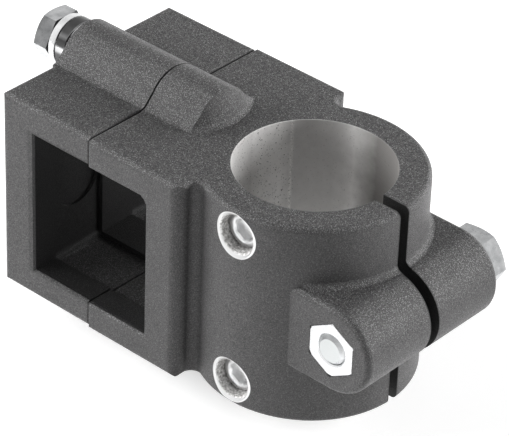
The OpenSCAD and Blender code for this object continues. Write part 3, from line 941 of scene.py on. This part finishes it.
class CLAMP_OT_add_stage(Operator):
    """Add the floor, the lights and the camera"""

    bl_idname = "clamp.add_stage"
    bl_label = "Add Stage"

    def execute(self, context):
        look = context.scene.clamp_stage
        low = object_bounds()[0]
        self.floor(look, low[2])
        self.lights(look)
        self.surroundings(context, look)
        self.camera(context, look)
        context.scene.view_settings.view_transform = "Standard"
        return {"FINISHED"}

    def floor(self, look, height):
        """White disc under the part, brighter where the camera or the metal sees it."""
        bm = bmesh.new()
        bmesh.ops.create_circle(bm, cap_ends=True, segments=96, radius=FLOOR_RADIUS,
                                matrix=Matrix.Translation((0, 0, height)))
        mesh = bpy.data.meshes.new("Floor")
        bm.to_mesh(mesh)
        bm.free()
        floor = bpy.data.objects.new("Floor", mesh)
        bpy.context.scene.collection.objects.link(floor)
        n = Nodes("Pale floor")
        path = n.add("ShaderNodeLightPath")
        seen = n.math("MAXIMUM", path.outputs["Is Camera Ray"], path.outputs["Is Glossy Ray"])
        seen = n.math("MAXIMUM", seen, path.outputs["Is Transmission Ray"])
        n.set(n.shader, Base_Color=look.floor_colour, Roughness=0.9,
              Emission_Color=(1.0, 1.0, 1.0),
              Emission_Strength=n.math("MULTIPLY", seen, look.floor_glow))
        n.shader.inputs["Specular IOR Level"].default_value = 0.0
        mesh.materials.append(n.material)
        floor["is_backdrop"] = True

    def lights(self, look):
        """Two wide soft lights, low at the front left and low at the back right."""
        for name, watts, (width, height, azimuth, elevation) in (
                ("Left light", look.left_power, LEFT_LAMP),
                ("Right light", look.right_power, RIGHT_LAMP)):
            lamp = bpy.data.lights.new(name, "AREA")
            lamp.energy = watts
            lamp.shape = "RECTANGLE"
            lamp.size = width
            lamp.size_y = height
            obj = bpy.data.objects.new(name, lamp)
            obj.visible_glossy = False
            bpy.context.scene.collection.objects.link(obj)
            place = direction(math.radians(azimuth), math.radians(elevation))
            obj.location = place * LAMP_DISTANCE
            obj.rotation_euler = (-place).to_track_quat("-Z", "Y").to_euler()

    def surroundings(self, context, look):
        """White all round to the camera and in metal, and dim as a light."""
        world = bpy.data.worlds.new("Surroundings")
        world.use_nodes = True
        tree = world.node_tree
        background = tree.nodes["Background"]
        background.inputs["Color"].default_value = (1, 1, 1, 1)
        path = tree.nodes.new("ShaderNodeLightPath")
        seen = path.outputs["Is Camera Ray"]
        for name in ("Is Glossy Ray", "Is Transmission Ray"):
            either = tree.nodes.new("ShaderNodeMath")
            either.operation = "MAXIMUM"
            tree.links.new(seen, either.inputs[0])
            tree.links.new(path.outputs[name], either.inputs[1])
            seen = either.outputs[0]
        level = tree.nodes.new("ShaderNodeMapRange")
        level.inputs["To Min"].default_value = look.sky
        level.inputs["To Max"].default_value = 1.0
        tree.links.new(seen, level.inputs["Value"])
        tree.links.new(level.outputs["Result"], background.inputs["Strength"])
        context.scene.world = world

    def camera(self, context, look):
        """Camera that looks at its target from the right and above."""
        back = direction(look.azimuth, look.elevation)
        right = Vector((math.cos(look.azimuth), math.sin(look.azimuth), 0))
        up = back.cross(right)
        turn_back = Matrix((right, up, back)).transposed() @ Matrix.Rotation(look.roll, 3, "Z")
        camera = bpy.data.cameras.new("Camera")
        camera.lens = look.lens
        camera.sensor_width = 36.0
        camera.sensor_fit = "HORIZONTAL"
        camera.clip_start = 0.01
        camera.clip_end = 20.0
        obj = bpy.data.objects.new("Camera", camera)
        obj.matrix_world = (Matrix.Translation(Vector(look.target) + back * look.distance)
                            @ turn_back.to_4x4())
        context.scene.collection.objects.link(obj)
        context.scene.camera = obj


OPERATORS = (
    CLAMP_OT_finish_castings,
    CLAMP_OT_add_bolts,
    CLAMP_OT_add_nut,
    CLAMP_OT_add_washers,
    CLAMP_OT_add_bushes,
    CLAMP_OT_add_spring_washers,
    CLAMP_OT_add_set_screws,
    CLAMP_OT_add_stage,
)


class CLAMP_PT_panel(Panel):
    """Lists the steps that build the clamp's looks"""

    bl_idname = "CLAMP_PT_panel"
    bl_label = "Cross Connector Clamp"
    bl_space_type = "VIEW_3D"
    bl_region_type = "UI"
    bl_category = "Clamp"

    def draw(self, context):
        """One button for each step and one box for each group of settings."""
        scene = context.scene
        for operator in OPERATORS:
            self.layout.operator(operator.bl_idname)
        for settings in (scene.clamp_casting, scene.clamp_fastener, scene.clamp_stage):
            box = self.layout.box()
            for name in settings.bl_rna.properties.keys():
                if name not in {"rna_type", "name"}:
                    box.prop(settings, name)


CLASSES = (CastingLook, FastenerLook, StageLook) + OPERATORS + (CLAMP_PT_panel,)


def register():
    """Registers the classes and adds the settings to the scene."""
    for cls in CLASSES:
        bpy.utils.register_class(cls)
    bpy.types.Scene.clamp_casting = PointerProperty(type=CastingLook)
    bpy.types.Scene.clamp_fastener = PointerProperty(type=FastenerLook)
    bpy.types.Scene.clamp_stage = PointerProperty(type=StageLook)


def unregister():
    """Takes the settings and the classes away again."""
    del bpy.types.Scene.clamp_stage
    del bpy.types.Scene.clamp_fastener
    del bpy.types.Scene.clamp_casting
    for cls in reversed(CLASSES):
        bpy.utils.unregister_class(cls)


def main():
    """Registers the add-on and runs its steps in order."""
    register()
    bpy.ops.clamp.finish_castings()
    bpy.ops.clamp.add_bolts()
    bpy.ops.clamp.add_nut()
    bpy.ops.clamp.add_washers()
    bpy.ops.clamp.add_bushes()
    bpy.ops.clamp.add_spring_washers()
    bpy.ops.clamp.add_set_screws()
    bpy.ops.clamp.add_stage()


if __name__ == "__main__":
    main()
